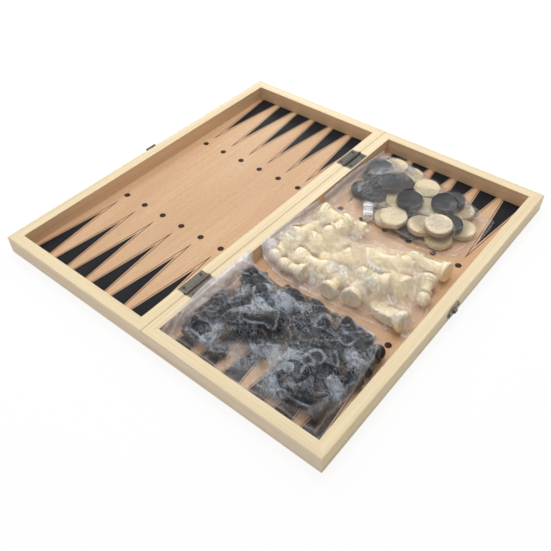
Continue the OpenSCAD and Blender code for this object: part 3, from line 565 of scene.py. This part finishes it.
def film_top(rng, x, y, tops, rim, wrinkle):
    """Height of the film's top over tops, the lowest it may lie; rim is the distance from its edges."""
    big = (crumple(rng, x, y, (26, 6), 2.2 * wrinkle, 0.6)
           + crumple(rng, x, y, (19, 5), 1.6 * wrinkle, -0.5))
    small = crumple(rng, x, y, (5, 8), 0.6 * wrinkle, 0.3)
    lift = np.clip(1 - rim / 22, 0, 1) * big * 0.9
    h = blur(np.maximum(tops + 0.15 + lift * 0.8, tops), 6)
    top = relax(np.maximum(h, tops), tops)
    loose = np.clip((top - tops) / 2.5, 0.4, 1)
    top = top + (big + small) * loose * np.clip(rim / 6, 0.25, 1)
    top = np.maximum(blur(top, 1), tops)
    # the film stays below the closed lid's panel, and lies flat on the seam rail
    top = np.minimum(top, np.maximum(LID_Z, tops))
    return np.minimum(top, RIM_Z + 0.22 + 1.6 * np.maximum(x - RAIL_X - 1.5, 0))


def film_marks(x, y, top, bare, rim, over, shiny, crushed):
    """Where the film has painted glints on its folds, is sealed, has painted shade and reflection where it
    hangs between pieces, is dull, is crushed or has painted highlights, each from 0 to 1.
    """
    turn = np.abs(neighbours(top) - 4 * top)
    seal = np.exp(-((rim - 5.0) / 0.9) ** 2) + 0.8 * np.exp(-(rim / 0.8) ** 2)
    pile = np.clip(6.0 * soften((bare > FLOOR_Z + 2).astype(float), 13) - 1.1, 0, 1)
    dull = np.clip((RAIL_X + 13 - x) / 12, 0, 1) ** 0.7 + 0.17 * (1 - pile)
    flap = np.clip((RAIL_X + 1.5 - x) / 2, 0, 1) * np.clip(1 - rim / 3, 0, 1)
    # the first mark: painted glints along the folds, from the film's bending
    return {"fold": np.clip((blur(turn, 1) - 0.25) / 1.1, 0, 1) * np.clip(rim / 4, 0, 1),
            "seal": seal * np.where(x < RAIL_X + 2, 0.5, 1.0),
            # painted shade and reflection where the film hangs between the pieces
            "gap_shade_and_reflection": pile * np.clip((top - bare - 1.5) / 4, over, 1) * np.clip((rim - 4) / 8, 0, 1),
            "dull": np.clip(dull, 0, 1),
            "crush": spots(x, y, crushed) + 0.15 * flap,
            "shine": spots(x, y, shiny)}


def film_bag(name, node, contents, edges, seed, wrinkle, over, material, shiny, crushed):
    """A bag's film over its contents between four edges. over is the least mark of painted shade and
    reflection between the pieces, on the pile.
    """
    x, y = patch(*edges)
    ground = film_ground(x)
    bare = heights(solid_tree(contents), x, y, FLOOR_Z)
    nu, nv = x.shape
    iu, iv = np.arange(nu)[:, None], np.arange(nv)[None]
    rim = np.minimum(np.minimum(iu, nu - 1 - iu), np.minimum(iv, nv - 1 - iv)) * STEP
    top = film_top(np.random.default_rng(seed), x, y, np.maximum(bare, ground) + CLEAR, rim, wrinkle)
    low = np.minimum(ground + 0.14, top - 0.1)
    ob = film_mesh(name, x, y, top, low, film_marks(x, y, top, bare, rim, over, shiny, crushed))
    ob.data.materials.append(material)
    ob.visible_shadow = False               # clear film lets the light through
    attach(ob, "play_tray")
    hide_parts(node)


# Film tones: deep paints the shade and reflection between the pieces, lit the highlight patches, and the
# crease tint the glints and reflections on the creases.
pale_film = clear_film("pale_bag_film", 0.06, 0.3, 0.5, (0.95, 0.84, 0.60), (1.0, 0.96, 0.84),
                       (0.45, 0.38, 0.44), 0.2, 0.7)
black_film = clear_film("black_bag_film", 0.012, 0.9, 0.9, (0.020, 0.020, 0.021), (0.54, 0.60, 0.67),
                        (0.34, 0.39, 0.46), 0.5, 0.5)
draughts_film = clear_film("draughts_bag_film", 0.015, 0.9, 0.35, (0.20, 0.18, 0.15), (0.60, 0.58, 0.60),
                           (0.40, 0.42, 0.48), 1.0, 1.9)

# Each bag's edges are its near, right, far and left one; the first spots are where highlights are painted
# on it, the second where it is crushed.
film_bag("draughts_film", "draughts_bag", ["pale_draughts", "black_draughts", "dice"],
         ([(12, 56), (33, 51), (70, 54), (105, 56), (146, 60), (160, 69)],
          [(160, 69), (169, 96), (170, 122), (168, 142)],
          [(12.5, 173), (33, 175), (64, 171), (98, 159), (132, 153), (168, 142)],
          [(12, 56), (11.9, 100), (12.2, 137), (12.5, 173)]),
         11, 0.9, 0, draughts_film,
         [(31, 146, 13, 10, 5, 0.8), (50, 119, 40, 16, 66, 0.75), (133, 81, 17, 9, 0, 0.7),
          (77, 73, 25, 8, -5, 0.3), (148, 132, 20, 8, -18, 0.35)],
         [(24, 165, 10, 4, 0, 0.4)])
film_bag("pale_film", "pale_chessmen_bag", men("pale"),
         ([(10, -46), (37, -58), (68, -59), (108, -56), (155, -52), (178, -49)],
          [(178, -49), (182, -36), (176, 0), (171, 22), (166, 49)],
          [(12, 46), (41, 52), (102, 53), (147, 53), (166, 49)],
          [(10, -46), (10.2, -10), (11.5, 22), (12, 46)]),
         23, 1.2, 0.2, pale_film,
         [(31, 15, 12, 8, 18, 0.7), (27, -20, 12, 9, 0, 0.7), (70, -48, 22, 10, 0, 0.9),
          (93, -31, 11, 13, 60, 1.0), (110, -50, 18, 8, 15, 0.8), (120, -24, 18, 11, -20, 1.0),
          (162, -42, 24, 10, -19, 1.0), (166, -1, 20, 10, -37, 0.8), (85, 20, 27, 8, 17, 0.5)],
         [(16, -42, 7, 9, 30, 0.9), (30, -50, 18, 5, -22, 0.6), (66, -56, 26, 3, 5, 0.35)])
film_bag("black_film", "black_chessmen_bag", men("black"),
         ([(12, -182), (41, -181), (99, -181), (151, -180.5), (178, -179)],
          [(178, -179), (180, -143), (181, -118), (176, -88), (164, -66)],
          [(8, -60), (30, -63), (61, -64), (90, -61), (122, -62), (150, -60), (164, -66)],
          [(12, -182), (10, -158), (6, -132), (4.6, -104), (5, -80), (8, -60)]),
         37, 1.4, 0.75, black_film,
         [(74, -110, 32, 9, 45, 1.0), (46, -159, 12, 9, 25, 0.8), (100, -150, 38, 9, 29, 0.85),
          (124, -162, 23, 13, 38, 1.0), (161, -140, 17, 9, 0, 1.0), (168, -104, 14, 10, 5, 0.7),
          (54, -100, 22, 8, 34, 0.5)],
         [(12, -70, 8, 10, 60, 0.6), (14, -92, 26, 6, 92, 0.3), (6, -112, 5, 14, 90, 0.3),
          (110, -66, 22, 4, 3, 0.35), (150, -68, 16, 5, 0, 0.3)])


# ------------------------------------------------------------------ camera, light and floor

CAMERA_AT = Vector((0.32421, -0.39484, 0.45161))
CAMERA_RIGHT = Vector((0.773408, 0.633677, -0.017125))
CAMERA_UP = Vector((-0.442276, 0.558761, 0.701554))
CAMERA_BACK = Vector((0.454127, -0.535014, 0.712410))

AIM = (0.09, -0.02, 0)      # what the softboxes face, in metres
SOFTBOX_DISTANCE = 1.25
SOFTBOX_WAYS = ((-0.221, 0.261, 0.94), (-0.60, 0.707, 0.375), (-0.679, 0.178, 0.712),
                (-0.065, 0.698, 0.712), (-0.25, -0.35, 0.9))

ROOM = 0.40                 # brightness of the room for matt surfaces
SHINY_ROOM = 0.14           # and for mirror images
FLOOR_HALF = 6              # metres
FLOOR_DROP = 0.0003         # keeps the floor clear of the case's underside
FLOOR_GLOW = 0.88           # share of white that the camera sees in the floor

cam = bpy.data.objects.new("camera", bpy.data.cameras.new("camera"))
cam.data.sensor_width = 36
cam.data.lens = 42.661
cam.data.clip_start = 0.01
pose = Matrix.Identity(4)
for column, axis in enumerate((CAMERA_RIGHT, CAMERA_UP, CAMERA_BACK, CAMERA_AT)):
    pose.col[column][:3] = axis
cam.matrix_world = pose
bpy.context.scene.collection.objects.link(cam)
bpy.context.scene.camera = cam


def lamp(name, at, aim, size, watts):
    data = bpy.data.lights.new(name, "AREA")
    data.shape, data.size, data.energy = "SQUARE", size, watts
    ob = bpy.data.objects.new(name, data)
    ob.location = at
    ob.rotation_euler = (Vector(aim) - Vector(at)).to_track_quat("-Z", "Y").to_euler()
    bpy.context.scene.collection.objects.link(ob)


lamp("overhead", (0.1, 0.25, 1.7), (0, 0, 0), 1.4, 7.6)
for i, way in enumerate(SOFTBOX_WAYS):
    at = [a + SOFTBOX_DISTANCE * w for a, w in zip(AIM, way)]
    lamp("softbox_%d" % (i + 1), at, AIM, 0.30, 2.25)

# the camera sees white, matt surfaces a bright room and shiny ones a dimmer room
world = bpy.data.worlds.new("studio")
bpy.context.scene.world = world
world.use_nodes = True
sky = Nodes(world.node_tree)
background = world.node_tree.nodes["Background"]
path = sky.add("ShaderNodeLightPath").outputs
room = sky.do("SUBTRACT", ROOM, sky.times(path["Is Glossy Ray"], ROOM - SHINY_ROOM))
sky.put(background.inputs["Strength"], sky.most(path["Is Camera Ray"], room))
sky.put(background.inputs["Color"], (1, 1, 1))

# matt paper that glows a little for the camera only, so that it shows white
paper = bpy.data.materials.new("floor")
paper.use_nodes = True
sheet = Nodes(paper.node_tree)
matt = paper.node_tree.nodes["Principled BSDF"]
for socket, value in (("Base Color", (0.93, 0.93, 0.93)), ("Roughness", 0.9), ("Specular IOR Level", 0.0)):
    sheet.put(matt.inputs[socket], value)
share = sheet.times(sheet.add("ShaderNodeLightPath").outputs["Is Camera Ray"], FLOOR_GLOW)
glow = sheet.add("ShaderNodeEmission").outputs[0]
seen = sheet.add("ShaderNodeMixShader", {0: share, 1: matt.outputs[0], 2: glow}).outputs[0]
sheet.put(paper.node_tree.nodes["Material Output"].inputs["Surface"], seen)

floor_mesh = bpy.data.meshes.new("floor")
corners = [(FLOOR_HALF * i, FLOOR_HALF * j, -FLOOR_DROP) for i, j in ((-1, -1), (1, -1), (1, 1), (-1, 1))]
floor_mesh.from_pydata(corners, [], [(0, 1, 2, 3)])
floor_mesh.materials.append(paper)
floor = bpy.data.objects.new("floor", floor_mesh)
bpy.context.scene.collection.objects.link(floor)

bpy.context.scene.view_settings.view_transform = "Standard"
